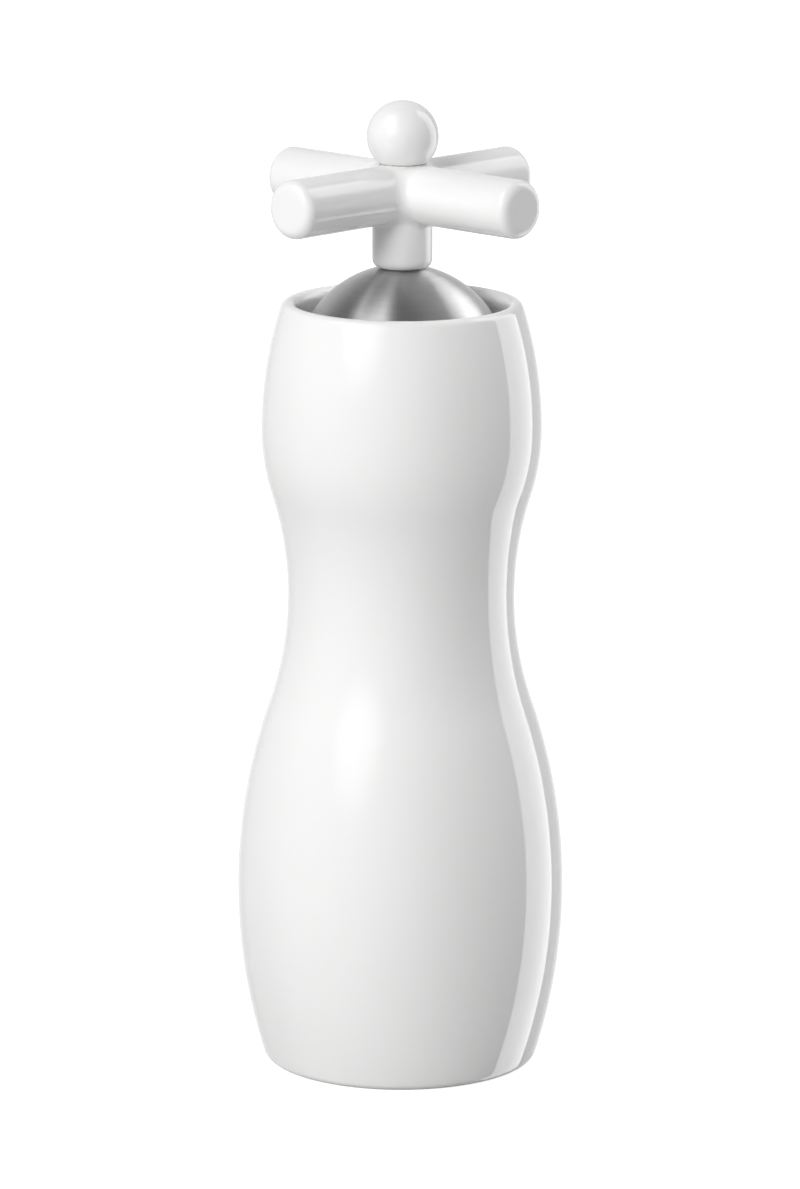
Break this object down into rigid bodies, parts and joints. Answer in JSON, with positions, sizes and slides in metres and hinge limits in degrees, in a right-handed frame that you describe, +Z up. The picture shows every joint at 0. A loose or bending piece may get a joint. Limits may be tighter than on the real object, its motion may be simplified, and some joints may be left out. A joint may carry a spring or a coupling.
{
  "type": "pepper mill",
  "caption": "Waisted porcelain pepper mill with a brushed steel dome, a cross handle and a ball nut that sets the grind of its ceramic burrs.",
  "frame": {"origin": "middle of the foot, on the surface the mill stands on", "axes": "+Z up along the shaft; the handle's arms lie along X and Y"},
  "size_m": [0.0672, 0.0672, 0.2],
  "materials": {
    "porcelain": "glossy white glaze",
    "gloss_white": "polished white",
    "dome_steel": "brushed round its axis",
    "plain_steel": "drawn or rolled",
    "screw_steel": "turned",
    "spring_steel": "drawn wire",
    "brass": "turned",
    "burr_ceramic": "fired, unglazed",
    "inner_plastic": "moulded",
    "silicone": "matt, milky"
  },
  "bodies": {
    "mill_body": {"body_shell": "porcelain", "neck_gasket": "silicone", "neck_ring": "inner_plastic", "base_gasket": "silicone", "grinder_housing": "inner_plastic", "outer_burr": "burr_ceramic", "retainer_plate": "plain_steel", "retainer_screws": "screw_steel", "shaft_bridge": "inner_plastic", "bridge_bush": "brass"},
    "thrust_washer": {"thrust_washer": "plain_steel", "burr_spring": "spring_steel"},
    "spindle": {"drive_shaft": "plain_steel", "inner_burr": "burr_ceramic", "burr_washer": "plain_steel", "burr_screw": "screw_steel"},
    "head": {"dome_cover": "dome_steel", "dome_core": "inner_plastic", "cross_handle": "gloss_white", "stem_insert": "brass", "core_nut": "screw_steel"},
    "ball_nut": {"ball_knob": "gloss_white", "ball_insert": "brass"}
  },
  "joints": [
    {"name": "grind_spin", "type": "hinge", "parent": "mill_body", "child": "thrust_washer", "pos_m": [0, 0, 0.0276], "axis": [0, 0, 1], "continuous": true},
    {"name": "grind_adjust", "type": "slide", "parent": "thrust_washer", "child": "spindle", "axis": [0, 0, 1], "range_m": [-0.0007, 0.00035], "deforming": ["burr_spring"]},
    {"name": "head_lift", "type": "slide", "parent": "thrust_washer", "child": "head", "axis": [0, 0, 1], "range_m": [0, 0.06]},
    {"name": "ball_turn", "type": "hinge", "parent": "head", "child": "ball_nut", "pos_m": [0, 0, 0.19268], "axis": [0, 0, 1], "range_deg": [-180, 360]}
  ],
  "couplings": [
    {"joint": "ball_turn", "follows": "grind_adjust", "rad_per_m": -8976}
  ]
}
